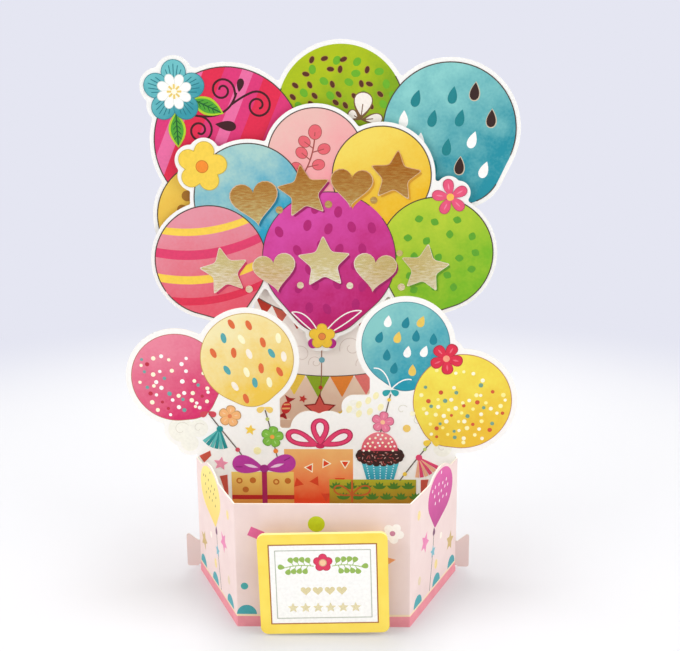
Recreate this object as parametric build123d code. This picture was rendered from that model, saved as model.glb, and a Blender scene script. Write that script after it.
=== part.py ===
from build123d import *
from collections import namedtuple
from math import atan2, cos, radians, sin
import os

# A pop-up card that stands as a six-sided tray of folded card with upright die-cut sheets.
# Sizes are in millimetres. X runs to the right, Y to the back and Z up.
# The origin is on the table in the middle of the tray, under the scene panel.

# Card stock and die
card = 0.5                   # thickness of every sheet of card
inner_corner = 1.0           # radius that the die leaves where two borders meet
rear_border = 1.8            # white border round the figures of the back panel
front_border = 1.6           # white border round the figures of the balloon panel
scene_border = 2.3           # white border round the figures of the scene panel

# Tray: a strip of card creased into five walls and two glue flaps
front_width = 62.0           # front wall, and the back panel behind it
half_width = 50.5            # from the middle of the tray to a side crease
half_depth = 44.5            # from the scene panel to the front wall, and to the back panel
wall_height = 47.5
fold_radius = 0.55           # outside radius of a crease
flap_width = 14.0            # glue flap on the back panel

# Balloons printed on the front side walls, whose tops stand above the rim
side_balloon_reach = 18.6    # from the side crease to the balloon's middle
side_balloon_drop = 7.2      # from the rim down to the balloon's middle
side_balloon_half_width = 13.0
side_balloon_half_height = 9.4
side_border = 1.2

# Locking tabs of the scene panel, and the slots in the side creases that they pass through
neck_bottom = 2.4
neck_height = 10.4
slot_play = 0.45             # room round the neck in its slot
hook_gap = 0.7               # from the outside of the crease to the hook
hook_reach = 5.1             # from the outside of the crease to the end of the hook
hook_rise = 3.6              # the hook's tip stands this far above the neck
hook_drop = 0.6              # the hook's foot hangs this far below the neck
hook_round = 0.8
crease_clearance = 0.4       # between the scene panel's edge and the inside of the crease

# Message plate in front of the tray
plate_width = 45.4
plate_height = 38.0
plate_thickness = 1.5
plate_corner = 2.6
plate_tilt = 1.3             # degrees, anticlockwise from the front
plate_x = 0.5
plate_lift = 0.7             # under the plate's lowest corner
plate_pad_width = 9.0
plate_pad_height = 22.0
plate_pad_thickness = 5.0
plate_pad_spread = 12.0      # from the plate's middle to a pad's middle

# Foam pads between the back panel and the balloon panel
balloon_pad_size = 10.0
balloon_pad_thickness = 2.0
balloon_pad_inset = 2.0      # from the trunk's edge

# A balloon is a circle drawn out to a smaller lower end, its tip, which leans to the right by
# lean degrees. Each figure is placed from the middle of the figure that it is set on, or else
# from the middle of the tray's rim.
Balloon = namedtuple("Balloon", "on x rise radius tip lean")
Flower = namedtuple("Flower", "on x rise radius petals turn")
Leaf = namedtuple("Leaf", "on x rise length width turn")
Disc = namedtuple("Disc", "on x rise radius")
tail_share = 0.6             # radius of a balloon's lower end, as a share of its radius
petal_share = 0.46           # radius of a petal, as a share of its flower's radius

# Front group of balloons
magenta = Balloon(on=None, x=0.2, rise=69.9, radius=27.1, tip=32.0, lean=-4)
blue = Balloon(on=magenta, x=-31.9, rise=24.3, radius=22.2, tip=24.0, lean=20)
blush = Balloon(on=magenta, x=-5.0, rise=41.2, radius=19.1, tip=21.0, lean=0)
yellow = Balloon(on=magenta, x=21.3, rise=33.2, radius=19.8, tip=21.5, lean=-10)
striped = Balloon(on=magenta, x=-48.2, rise=-1.1, radius=22.8, tip=25.0, lean=20)
green = Balloon(on=magenta, x=43.3, rise=1.7, radius=23.1, tip=26.0, lean=-22)
yellow_flower = Flower(on=blue, x=-18.4, rise=13.0, radius=9.9, petals=5, turn=80)
pink_flower = Flower(on=green, x=5.4, rise=23.0, radius=6.9, petals=5, turn=100)
knot_flower = Flower(on=magenta, x=-3.2, rise=-32.9, radius=5.3, petals=5, turn=90)
front_balloons = (blush, yellow, blue, striped, green, magenta)

# Rear group of balloons
red = Balloon(on=magenta, x=-40.0, rise=46.6, radius=29.5, tip=32.0, lean=10)
lime = Balloon(on=magenta, x=5.2, rise=59.6, radius=24.9, tip=27.0, lean=0)
teal = Balloon(on=magenta, x=48.1, rise=51.0, radius=26.4, tip=30.5, lean=21)
gold = Balloon(on=magenta, x=-46.6, rise=16.6, radius=23.0, tip=26.7, lean=0)
teal_flower = Flower(on=red, x=-20.6, rise=20.0, radius=12.2, petals=5, turn=90)
upper_leaf = Leaf(on=teal_flower, x=12.8, rise=-5.7, length=11.0, width=5.2, turn=-25)
lower_leaf = Leaf(on=teal_flower, x=0.6, rise=-14.9, length=11.0, width=5.2, turn=-88)
rear_balloons = (lime, red, teal, gold)

# Figures of the scene panel
lemon = Balloon(on=None, x=-29.7, rise=39.8, radius=17.5, tip=19.0, lean=8)
pink = Balloon(on=lemon, x=-27.1, rise=-7.5, radius=17.0, tip=18.0, lean=35)
drops = Balloon(on=None, x=30.2, rise=45.2, radius=16.4, tip=18.0, lean=0)
dotted = Balloon(on=drops, x=21.6, rise=-22.4, radius=18.5, tip=19.5, lean=-35)
red_flower = Flower(on=drops, x=15.3, rise=-5.4, radius=5.6, petals=5, turn=60)
bow_middle_x = -2.7
bow_rise = 11.8
bow_spread = 3.9             # from the bow's middle to the middle of a loop
bow_loop_radius = 4.8
scene_balloons = (pink, lemon, drops, dotted)

# Fields of white card that join the scene panel's figures
left_field_edge = -20.0      # edges on the gap in the middle, without their border
right_field_edge = 19.0
field_tuck = 4.0             # a field runs this far up behind its balloon's lower end
gift_field_rise = 9.7
cloud_reach = 6.2            # from the panel's edge in the tray to the left cloud's middle
cloud_rise = 11.4
cloud_radius = 4.4
low_cloud_reach = 3.1
low_cloud_rise = 6.0
low_cloud_radius = 2.8
inner_cloud_reach = 8.4      # from the right field's edge to the inner cloud's middle
inner_cloud_rise = 20.7
inner_cloud_radius = 2.4

wall_angle = atan2(half_width - front_width / 2, half_depth)
crease_inside = half_width - card / cos(wall_angle)
scene_half_width = crease_inside - crease_clearance
neck_top = neck_bottom + neck_height
back_face = half_depth       # front of the back panel, where the flaps are glued
trunk_half = front_width / 2

left_cloud = Disc(None, -scene_half_width - cloud_reach, cloud_rise, cloud_radius)
low_cloud = Disc(None, -scene_half_width - low_cloud_reach, low_cloud_rise, low_cloud_radius)
inner_cloud = Disc(None, right_field_edge - inner_cloud_reach, inner_cloud_rise, inner_cloud_radius)
left_loop = Disc(None, bow_middle_x - bow_spread, bow_rise, bow_loop_radius)
right_loop = Disc(None, bow_middle_x + bow_spread, bow_rise, bow_loop_radius)


def middle(figure):
    """X and Z of a figure's middle."""
    if figure is None:
        return 0, wall_height
    x, z = middle(figure.on)
    return x + figure.x, z + figure.rise


def disc(figure, border):
    return Pos(*middle(figure)) * Circle(figure.radius + border)


def balloon(figure, border):
    """A circle hulled with a smaller one at its lower end."""
    x, z = middle(figure)
    tail_radius = tail_share * figure.radius
    reach = figure.tip - tail_radius
    tail_x = x + reach * sin(radians(figure.lean))
    tail_z = z - reach * cos(radians(figure.lean))
    tail = Pos(tail_x, tail_z) * Circle(tail_radius + border)
    return make_hull((disc(figure, border) + tail).edges())


def flower(figure, border):
    """Round petals set on a circle round a middle."""
    petal = petal_share * figure.radius
    ring = PolarLocations(figure.radius - petal, figure.petals, start_angle=figure.turn)
    petals = [place * Circle(petal + border) for place in ring]
    return Pos(*middle(figure)) * (Circle(figure.radius - petal) + petals)


def leaf(figure, border):
    """The lens that two equal arcs make, pointed at both ends."""
    bend = (figure.length**2 + figure.width**2) / (4 * figure.width)
    shift = bend - figure.width / 2
    lens = (Pos(0, shift) * Circle(bend)) & (Pos(0, -shift) * Circle(bend))
    return Pos(*middle(figure)) * Rot(0, 0, figure.turn) * offset(lens, border)


def field(left, right, bottom, top):
    return Pos((left + right) / 2, (bottom + top) / 2) * Rectangle(right - left, top - bottom)


def die_cut(figures):
    """The outer outline of figures that overlap, with the inner corners between them rounded.
    The figures are drawn larger by inner_corner, which this takes off again."""
    joined = Sketch() + figures
    return offset(make_face(joined.face().outer_wire()), -inner_corner, kind=Kind.ARC)


def upright(outline, rear, thickness):
    """An outline drawn in X and Z, raised to a sheet whose rear face is at Y = rear."""
    return extrude(Plane.XZ.offset(-rear) * outline, thickness)


def side_balloon():
    """The oval of the right front wall that follows its balloon up above the rim."""
    along = Vector(half_width - front_width / 2, half_depth).normalized()
    outward = Vector(along.Y, -along.X)
    wall = Plane(origin=(half_width, 0, wall_height), x_dir=along, z_dir=outward)
    oval = Ellipse(side_balloon_half_width + side_border, side_balloon_half_height + side_border)
    return extrude(wall * Pos(-side_balloon_reach, -side_balloon_drop) * oval, -card)


def tray_wall():
    corners = [
        (-front_width / 2, -half_depth),
        (front_width / 2, -half_depth),
        (half_width, 0),
        (front_width / 2, half_depth),
        (-front_width / 2, half_depth),
        (-half_width, 0),
    ]
    outside = Polygon(*corners, align=None)
    outside = fillet(outside.vertices(), fold_radius)
    strip = outside - offset(outside, -card, kind=Kind.ARC)
    strip -= Pos(0, half_depth) * Rectangle(front_width - 2 * flap_width, 4 * card)
    walls = extrude(strip, wall_height)
    oval = side_balloon()
    walls = walls + oval + mirror(oval, about=Plane.YZ)
    slot = Box(half_width, card + 2 * slot_play, neck_height + 2 * slot_play)
    slot_middle = neck_bottom + neck_height / 2
    for side in (-1, 1):
        walls -= Pos(side * half_width, 0, slot_middle) * slot
    return walls


def back_panel():
    border = rear_border + inner_corner
    trunk_top = middle(lime)[1]
    trunk_edge = trunk_half + inner_corner
    figures = [balloon(figure, border) for figure in rear_balloons]
    figures.append(flower(teal_flower, border))
    figures.append(leaf(upper_leaf, border))
    figures.append(leaf(lower_leaf, border))
    figures.append(field(-trunk_edge, trunk_edge, -inner_corner, trunk_top))
    return upright(die_cut(figures), back_face + card, card)


def balloon_panel():
    border = front_border + inner_corner
    figures = [balloon(figure, border) for figure in front_balloons]
    for figure in (yellow_flower, pink_flower, knot_flower):
        figures.append(flower(figure, border))
    return upright(die_cut(figures), back_face - balloon_pad_thickness, card)


def balloon_pads():
    """One foam pad behind each front balloon, drawn in to the trunk where the balloon overhangs."""
    limit = trunk_half - balloon_pad_inset - balloon_pad_size / 2
    pads = []
    for figure in front_balloons:
        x, z = middle(figure)
        pad = Pos(max(-limit, min(limit, x)), z) * Rectangle(balloon_pad_size, balloon_pad_size)
        pads.append(upright(pad, back_face, balloon_pad_thickness))
    return Compound(pads)


def hooked_tab():
    """The tab at the scene panel's right side, with a hook that catches outside the slot."""
    hook_inside = half_width + hook_gap
    hook_end = half_width + hook_reach
    corners = [
        (scene_half_width - scene_border, neck_bottom),
        (hook_inside, neck_bottom),
        (hook_inside, neck_bottom - hook_drop),
        (hook_end, neck_bottom - hook_drop),
        (hook_end, neck_top + hook_rise),
        (hook_inside, neck_top),
        (scene_half_width - scene_border, neck_top),
    ]
    tab = Polygon(*corners, align=None)
    ends = [corner for corner in tab.vertices() if corner.X > hook_end - hook_round]
    return upright(fillet(ends, hook_round), card / 2, card)


def field_top(figure):
    """Top of a field that runs up behind a balloon's lower end."""
    return middle(figure)[1] - figure.tip + field_tuck


def scene_panel():
    border = scene_border + inner_corner
    rim = wall_height
    edge = scene_half_width + inner_corner
    left_edge = left_field_edge + border
    right_edge = right_field_edge - border
    cloud_x, cloud_z = middle(inner_cloud)
    cloud_half = inner_cloud_radius + border
    figures = [balloon(figure, border) for figure in scene_balloons]
    for figure in (left_cloud, low_cloud, inner_cloud, left_loop, right_loop):
        figures.append(disc(figure, border))
    figures.append(flower(red_flower, border))
    figures.append(field(-edge, left_edge, rim, field_top(lemon) + border))
    figures.append(field(right_edge, edge, rim, field_top(drops) + border))
    figures.append(field(cloud_x, right_field_edge, cloud_z - cloud_half, cloud_z + cloud_half))
    figures.append(field(-edge, edge, -inner_corner, rim + gift_field_rise + border))
    tab = hooked_tab()
    return upright(die_cut(figures), card / 2, card) + tab + mirror(tab, about=Plane.YZ)


def plate_spot():
    """Place of the message plate's middle: its lowest rounded corner is plate_lift up."""
    tilt = radians(plate_tilt)
    flat_half_width = plate_width / 2 - plate_corner
    flat_half_height = plate_height / 2 - plate_corner
    height = plate_corner + flat_half_height * cos(tilt) + flat_half_width * sin(tilt)
    return Pos(plate_x, plate_lift + height) * Rot(0, 0, plate_tilt)


def message_plate():
    outline = plate_spot() * RectangleRounded(plate_width, plate_height, plate_corner)
    return upright(outline, -half_depth - plate_pad_thickness, plate_thickness)


def plate_pads():
    pads = []
    for side in (-1, 1):
        spot = plate_spot() * Pos(side * plate_pad_spread, 0)
        pad = spot * Rectangle(plate_pad_width, plate_pad_height)
        pads.append(upright(pad, -half_depth, plate_pad_thickness))
    return Compound(pads)


os.makedirs("parts", exist_ok=True)
for make in (
    tray_wall,
    back_panel,
    balloon_panel,
    balloon_pads,
    scene_panel,
    message_plate,
    plate_pads,
):
    export_step(make(), f"parts/{make.__name__}.step")
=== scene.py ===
import random
from collections import namedtuple
from copy import copy
from math import cos, hypot, pi, radians, sin

import bmesh
import bpy
from mathutils import Matrix, Vector


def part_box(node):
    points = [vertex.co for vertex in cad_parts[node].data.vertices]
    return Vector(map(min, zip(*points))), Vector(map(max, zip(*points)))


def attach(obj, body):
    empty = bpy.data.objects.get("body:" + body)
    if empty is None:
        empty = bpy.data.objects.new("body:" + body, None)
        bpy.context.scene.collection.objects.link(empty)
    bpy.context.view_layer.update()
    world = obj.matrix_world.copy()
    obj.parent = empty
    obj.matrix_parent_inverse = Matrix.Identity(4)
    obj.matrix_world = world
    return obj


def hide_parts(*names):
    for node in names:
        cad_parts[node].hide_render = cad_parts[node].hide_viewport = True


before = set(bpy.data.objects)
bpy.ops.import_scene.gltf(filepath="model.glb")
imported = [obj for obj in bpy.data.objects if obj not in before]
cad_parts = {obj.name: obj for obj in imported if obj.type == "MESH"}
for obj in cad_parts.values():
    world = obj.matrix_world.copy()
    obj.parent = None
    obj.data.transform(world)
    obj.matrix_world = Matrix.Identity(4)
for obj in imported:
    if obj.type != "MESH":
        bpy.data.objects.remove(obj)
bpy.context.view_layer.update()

# Lengths are in millimetres, as in the solids, and mm turns them into Blender's metres.
mm = 0.001

# Printed faces, from the solids
rear_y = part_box("back_panel")[0].y / mm
front_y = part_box("balloon_panel")[0].y / mm
scene_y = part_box("scene_panel")[0].y / mm
plate_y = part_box("message_plate")[0].y / mm

# Tray, with the tops of the printed band along its foot and of the pale line over the band
half_depth = -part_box("tray_wall")[0].y / mm
half_width = 50.5
front_width = 62.0
wall_height = 47.5
wall_length = hypot(half_width - front_width / 2, half_depth)
band_top = 4.1
line_top = 4.9

# Ink and foil: each layer lies a little higher than the one that it is printed over
ink_step = 0.012
ink_sink = 0.1               # how far the first layer's underside lies in the card
sink_step = 0.001            # how much further each later one lies
keyline_width = 0.42
rim_width = 0.25

# A balloon is a circle drawn out to a smaller lower end, its tip, which leans to the right
Balloon = namedtuple("Balloon", "x z radius tip lean")
Flower = namedtuple("Flower", "x z radius turn")
tail_share = 0.6
petal_share = 0.385

lime = Balloon(5.4, 177.0, 24.9, 27.0, 0)
red = Balloon(-39.8, 164.0, 29.5, 32.0, 10)
teal = Balloon(48.3, 168.4, 26.4, 30.5, 21)
gold = Balloon(-46.4, 134.0, 23.0, 26.7, 0)
teal_flower = Flower(-60.4, 184.0, 12.2, 90)

blush = Balloon(-4.8, 158.6, 19.1, 21.0, 0)
yellow = Balloon(21.5, 150.6, 19.8, 21.5, -10)
blue = Balloon(-31.7, 141.7, 22.2, 24.0, 20)
striped = Balloon(-48.0, 116.3, 22.8, 25.0, 20)
green = Balloon(43.5, 119.1, 23.1, 26.0, -22)
magenta = Balloon(0.2, 117.4, 27.1, 32.0, -4)
yellow_flower = Flower(-50.1, 154.7, 9.9, 80)
pink_flower = Flower(48.9, 142.1, 6.9, 100)
knot_flower = Flower(-3.0, 84.5, 5.3, 90)

lemon = Balloon(-29.7, 87.3, 17.5, 19.0, 8)
pink = Balloon(-56.8, 79.8, 17.0, 18.0, 35)
drops = Balloon(30.2, 92.7, 16.4, 18.0, 0)
dotted = Balloon(51.8, 70.3, 18.5, 19.5, -35)
red_flower = Flower(45.5, 87.3, 5.6, 60)

side_balloon_reach = 18.6
side_balloon_drop = 7.2
side_balloon_half_width = 13.0
side_balloon_half_height = 9.4

plate_width = 45.4
plate_height = 38.0
plate_tilt = 1.3
plate_x = 0.5
plate_z = 20.15

# The printed ground behind the scene: its upper and lower colours, and the heights that it runs between. The
# darkening down to the lower colour is painted shade deep in the tray
trunk_colours_and_shade = ((242, 214, 190), (222, 170, 136), 66, 20)

# The photograph's camera: its place, its turn, pitch and roll in degrees, and its lens in pixels
camera_place = (16.57, -416.2, 209.6)
camera_turn = 1.515
camera_pitch = -14.728
camera_roll = -0.434
image_width = 680
focal_pixels = 1150

# Room
floor_reach = 6000.0
floor_fade = (160.0, 420.0)  # where the table starts to take the backdrop's colour, and has it
backdrop = (229, 230, 242)
card_middle = 90.0


# Outlines, as lists of points to the right and up

def turned(points, x, z, turn):
    """Points turned by turn degrees about the origin and moved to x, z."""
    c, s = cos(radians(turn)), sin(radians(turn))
    return [(x + c * a - s * b, z + s * a + c * b) for a, b in points]


def ray(x, z, start, end, turn):
    """A straight line that leads away from x, z towards turn degrees."""
    return turned([(start, 0), (end, 0)], x, z, turn)


def out_from(x, z, reach, turn):
    return turned([(reach, 0)], x, z, turn)[0]


def round_angles(count):
    return [2 * pi * i / count for i in range(count)]


def oval(x, z, width, height, turn=0, count=20):
    points = [(width / 2 * cos(a), height / 2 * sin(a)) for a in round_angles(count)]
    return turned(points, x, z, turn)


def circle(x, z, radius, count=20):
    return oval(x, z, 2 * radius, 2 * radius, count=count)


def dome(x, z, radius, height, count):
    """The upper half of an oval, which stands on x, z."""
    angles = [pi * i / count for i in range(count + 1)]
    return [(x + radius * cos(a), z + height * sin(a)) for a in angles]


def rectangle(left, bottom, right, top):
    return [(left, bottom), (right, bottom), (right, top), (left, top)]


def inset(width, height, by):
    """A rectangle about the origin, drawn in on each side."""
    return rectangle(by - width / 2, by - height / 2, width / 2 - by, height / 2 - by)


def drop(x, z, length, width, turn, count=22):
    """A tear whose point is at x, z and whose round end lies towards turn degrees."""
    fullest = 0.77           # largest value of the sine product below
    points = []
    for a in round_angles(count):
        swell = sin(a) * abs(sin(a / 2)) / fullest
        points.append((length * (1 - cos(a)) / 2, -width / 2 * swell))
    return turned(points, x, z, turn)


def lens(x, z, length, width, turn, count=9):
    """A leaf that is pointed at both ends."""
    steps = [i / (count - 1) for i in range(count)]
    upper = [(length * (t - 0.5), width / 2 * sin(pi * t)) for t in steps]
    lower = [(-a, -b) for a, b in upper[1:-1]]
    return turned((upper + lower)[::-1], x, z, turn)


def star(x, z, radius, turn=90):
    inner = 0.48
    points = []
    for i in range(10):
        reach = radius if i % 2 == 0 else inner * radius
        points.append((reach * cos(i * pi / 5), reach * sin(i * pi / 5)))
    return turned(points, x, z, turn)


def heart(x, z, size, turn=0, count=36):
    points = []
    for a in round_angles(count):
        across = 16 * sin(a) ** 3
        up = 13 * cos(a) - 5 * cos(2 * a) - 2 * cos(3 * a) - cos(4 * a)
        points.append((-across * size / 32, up * size / 32))
    return turned(points, x, z, turn)


def flower(figure, share, grow=0.0, count=80):
    """Five round petals on a ring round the middle, as one outline."""
    petal = share * figure.radius
    ring = figure.radius - petal
    part = 2 * pi / 5
    points = []
    for a in round_angles(count):
        off = (a - radians(figure.turn) + part / 2) % part - part / 2
        room = (petal + grow) ** 2 - (ring * sin(off)) ** 2
        reach = ring * cos(off) + max(room, 0) ** 0.5
        points.append((figure.x + reach * cos(a), figure.z + reach * sin(a)))
    return points


def turn_of(a, b, c):
    return (b[0] - a[0]) * (c[1] - a[1]) - (b[1] - a[1]) * (c[0] - a[0])


def hull(points):
    """The convex outline round points, anticlockwise."""
    points = sorted(set(points))

    def half(order):
        chain = []
        for p in order:
            while len(chain) > 1 and turn_of(chain[-2], chain[-1], p) <= 0:
                chain.pop()
            chain.append(p)
        return chain[:-1]

    return half(points) + half(points[::-1])


def balloon(figure, grow=0.0, count=96):
    tail = tail_share * figure.radius
    reach = figure.tip - tail
    tail_x = figure.x + reach * sin(radians(figure.lean))
    tail_z = figure.z - reach * cos(radians(figure.lean))
    top = circle(figure.x, figure.z, figure.radius + grow, count)
    return hull(top + circle(tail_x, tail_z, tail + grow, count))


def bend(start, control, end, count=12):
    """A smooth curve from start to end, drawn towards control."""
    points = []
    for i in range(count + 1):
        t = i / count
        shares = ((1 - t) ** 2, 2 * t * (1 - t), t**2)
        axes = zip(start, control, end)
        points.append(tuple(sum(s * v for s, v in zip(shares, axis)) for axis in axes))
    return points


def spiral(x, z, radius, start, turns, count=34):
    """A line that winds in from radius round x, z, from start degrees."""
    points = []
    for i in range(count + 1):
        t = i / count
        reach = radius * (1 - 0.78 * t)
        angle = radians(start) + 2 * pi * turns * t
        points.append((x + reach * cos(angle), z + reach * sin(angle)))
    return points


def rounded(points, radius, steps=4):
    """Corners cut back by radius and rounded."""
    made = []
    for before, corner, after in zip([points[-1]] + points[:-1], points, points[1:] + points[:1]):
        ends = []
        for other in (before, after):
            length = hypot(other[0] - corner[0], other[1] - corner[1])
            share = min(radius / length, 0.45)
            ends.append(tuple(c + share * (o - c) for c, o in zip(corner, other)))
        made += bend(ends[0], corner, ends[1], steps)
    return made


def inside(x, z, outline):
    hit = False
    for (ax, az), (bx, bz) in zip(outline, outline[1:] + outline[:1]):
        if (az > z) != (bz > z) and x < ax + (z - az) * (bx - ax) / (bz - az):
            hit = not hit
    return hit


def scatter(outline, pitch, seed, jitter=0.22):
    """Numbered points on staggered rows inside an outline, each moved a little at random."""
    draw = random.Random(seed)
    across, up = zip(*outline)
    left, low = min(across), min(up)
    row_pitch = 0.87 * pitch
    spots = []
    for row in range(int((max(up) - low) / row_pitch) + 1):
        for column in range(int((max(across) - left) / pitch) + 1):
            x = left + pitch * (column + 0.5 * (row % 2) + jitter * draw.uniform(-1, 1))
            z = low + row_pitch * (row + jitter * draw.uniform(-1, 1))
            if inside(x, z, outline):
                spots.append((len(spots), x, z))
    return spots


def clip(points, window):
    """The part of an outline that lies in a convex window."""
    for a, b in zip(window, window[1:] + window[:1]):
        kept = []
        for p, q in zip(points, points[1:] + points[:1]):
            p_in, q_in = turn_of(a, b, p), turn_of(a, b, q)
            if p_in >= 0:
                kept.append(p)
            if (p_in >= 0) != (q_in >= 0):
                t = p_in / (p_in - q_in)
                kept.append((p[0] + t * (q[0] - p[0]), p[1] + t * (q[1] - p[1])))
        points = kept
    return points


# Materials

def linear(value):
    value = max(0.0, min(1.0, value / 255))
    return value / 12.92 if value <= 0.04045 else ((value + 0.055) / 1.055) ** 2.4


def rgb(red_part, green_part, blue_part):
    """A colour as it shows on a screen, 0 to 255, in the linear form that shaders take."""
    return (linear(red_part), linear(green_part), linear(blue_part), 1.0)


class Nodes:
    """A tree of shader nodes."""

    def __init__(self, tree):
        self.tree = tree

    def feed(self, socket, value):
        """Links an output to a socket, or sets the socket to a number or a colour."""
        if isinstance(value, bpy.types.NodeSocket):
            self.tree.links.new(value, socket)
        else:
            socket.default_value = value

    def node(self, kind, values, **settings):
        """The outputs of a new node, whose sockets are fed values by name or number."""
        made = self.tree.nodes.new(kind)
        for name, setting in settings.items():
            setattr(made, name, setting)
        for socket, value in values.items():
            self.feed(made.inputs[socket], value)
        return made.outputs

    def maths(self, operation, first, second, third=0.0):
        values = {0: first, 1: second, 2: third}
        return self.node("ShaderNodeMath", values, operation=operation)[0]

    def seen(self):
        """1 for rays that come from the camera or a mirror or pass through glass, otherwise 0."""
        path = self.node("ShaderNodeLightPath", {})
        mirrored = self.maths("MAXIMUM", path["Is Glossy Ray"], path["Is Transmission Ray"])
        return self.maths("MAXIMUM", path["Is Camera Ray"], mirrored)

    def blend(self, share, first, second, output):
        """Sends a blend of two shaders to an output node."""
        mixed = self.node("ShaderNodeMixShader", {0: share, 1: first, 2: second})
        self.feed(self.tree.nodes[output].inputs["Surface"], mixed[0])


class Shader(Nodes):
    """A material, with the kinds of node that these materials are made of."""

    def __init__(self, name, roughness, specular=0.3, metallic=0.0):
        self.material = bpy.data.materials.new(name)
        self.material.use_nodes = True
        super().__init__(self.material.node_tree)
        self.surface = self.tree.nodes["Principled BSDF"]
        self.surface.inputs["Roughness"].default_value = roughness
        self.surface.inputs["Specular IOR Level"].default_value = specular
        self.surface.inputs["Metallic"].default_value = metallic
        self.place = self.node("ShaderNodeTexCoord", {})["Object"]

    def split(self, vector):
        return self.node("ShaderNodeSeparateXYZ", {0: vector})

    def facing(self):
        """The way that the surface faces, split into X, Y and Z."""
        return self.split(self.node("ShaderNodeNewGeometry", {})["Normal"])

    def noise(self, scale, detail, stretch=(1, 1, 1)):
        """Soft noise with about scale blots to a metre, stretched along the axes."""
        place = self.node("ShaderNodeVectorMath", {0: self.place, 1: stretch}, operation="MULTIPLY")
        values = {"Vector": place[0], "Scale": scale, "Detail": detail}
        return self.node("ShaderNodeTexNoise", values)["Fac"]

    def over(self, value, limit):
        return self.maths("GREATER_THAN", value, limit)

    def beyond(self, value, limit):
        """1 where a value lies further than limit from 0, either way."""
        return self.over(self.maths("ABSOLUTE", value, 0.0), limit)

    def on_face(self):
        """1 on the front and the back of an upright sheet, 0 on its cut edges."""
        return self.beyond(self.facing()["Y"], 0.5)

    def along(self, slope, middle, reach):
        """0 to 1 across reach millimetres each way from a middle in X and Z, towards slope."""
        scale = 0.5 / (reach * mm)
        values = {0: self.place, 1: (slope[0] * scale, 0, slope[1] * scale)}
        run = self.node("ShaderNodeVectorMath", values, operation="DOT_PRODUCT")["Value"]
        start = 0.5 - mm * scale * (slope[0] * middle[0] + slope[1] * middle[1])
        return self.maths("ADD", run, start)

    def down(self, high, low):
        """0 at a height to 1 at a lower one."""
        return self.along((0, -1), (0, (high + low) / 2), (high - low) / 2)

    def blotted(self, run, scale, detail, mottle):
        """A run that soft blots move by up to mottle either way."""
        moved = self.maths("SUBTRACT", run, mottle)
        return self.maths("MULTIPLY_ADD", self.noise(scale, detail), 2 * mottle, moved)

    def ramp(self, factor, *stops):
        """Colours that follow a factor, each with the value that it stands at."""
        node = self.tree.nodes.new("ShaderNodeValToRGB")
        elements = node.color_ramp.elements
        while len(elements) < len(stops):
            elements.new(1.0)
        for element, (position, colour) in zip(elements, stops):
            element.position = position
            element.color = rgb(*colour)
        self.feed(node.inputs[0], factor)
        return node.outputs["Color"]

    def mottled(self, scale, detail, first, second, end=0.7):
        """Two close colours that noise mixes."""
        return self.ramp(self.noise(scale, detail), (0.3, first), (end, second))

    def mix(self, factor, first, second):
        values = {0: factor, 6: first, 7: second}
        return self.node("ShaderNodeMix", values, data_type="RGBA")[2]

    def paint(self, colour):
        self.feed(self.surface.inputs["Base Color"], colour)

    def bump(self, height, strength, distance):
        values = {"Height": height, "Strength": strength, "Distance": distance * mm}
        self.feed(self.surface.inputs["Normal"], self.node("ShaderNodeBump", values)["Normal"])

    def on_card(self, colour, tooth=0.25):
        """The finished material, with a colour and the fine tooth of uncoated card."""
        self.paint(colour)
        self.bump(self.noise(2600, 4), tooth, 0.03)
        return self.material


def wash(figure, name, light, dark, mottle=0.5, slope=(0.5, -0.87)):
    """Watercolour that runs from light to dark across a figure, with soft blots."""
    shader = Shader(name, 0.55)
    run = shader.along(slope, (figure.x, figure.z), figure.radius)
    pigment = shader.maths("SUBTRACT", shader.noise(900, 3), 0.5)
    factor = shader.maths("MULTIPLY_ADD", pigment, 0.35, shader.blotted(run, 95, 5, mottle))
    return shader.on_card(shader.ramp(factor, (0.05, light), (0.95, dark)))


inks = {}


def ink(*colour):
    """Printed ink of one colour, which the card's tooth makes a little uneven."""
    colour = tuple(int(c) for c in colour)
    if colour not in inks:
        shader = Shader("ink_{:02x}{:02x}{:02x}".format(*colour), 0.5)
        light = [1.015 * c + 1 for c in colour]
        dark = [0.98 * c for c in colour]
        inks[colour] = shader.on_card(shader.mottled(900, 4, light, dark))
    return inks[colour]


def fade(name, top, bottom, high, low, scale=160, detail=4, mottle=0.25):
    """Ink that runs from one colour at a height down to another."""
    shader = Shader(name, 0.55)
    factor = shader.blotted(shader.down(high, low), scale, detail, mottle)
    return shader.on_card(shader.ramp(factor, (0.0, top), (1.0, bottom)))


def foil(name, high, low, *colours):
    """Hot-stamped foil whose colour runs from a height down to another as a painted reflection, with fine
    level streaks that are bumps and painted highlights.
    """
    shader = Shader(name, 0.26, 0.5, 1.0)
    # The streaks make the bump and also shift the colour along the ramp, as painted highlights
    streaks = shader.maths("SUBTRACT", shader.noise(1100, 5, (0.35, 1, 1.5)), 0.5)
    factor = shader.maths("MULTIPLY_ADD", streaks, 0.6, shader.down(high, low))
    last = len(colours) - 1
    shader.paint(shader.ramp(factor, *[(i / last, colour) for i, colour in enumerate(colours)]))
    shader.bump(streaks, 0.5, 0.06)
    return shader.material


def sheet_card(name, face, tab_start=None):
    """Card stock, with its fibres showing on the cut edges. Tabs that start so far out are tinted."""
    shader = Shader(name, 0.62, 0.25)
    tone = shader.mottled(900, 5, face, [0.985 * c for c in face])
    if tab_start:
        place = shader.split(shader.place)
        out = shader.beyond(place["X"], tab_start * mm)
        low = shader.maths("LESS_THAN", place["Z"], wall_height * mm)
        tone = shader.mix(shader.maths("MULTIPLY", out, low), tone, rgb(234, 212, 206))
    fibres = shader.mottled(1500, 3, (240, 235, 222), (216, 211, 200), 0.75)
    return shader.on_card(shader.mix(shader.on_face(), fibres, tone), 0.3)


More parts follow.
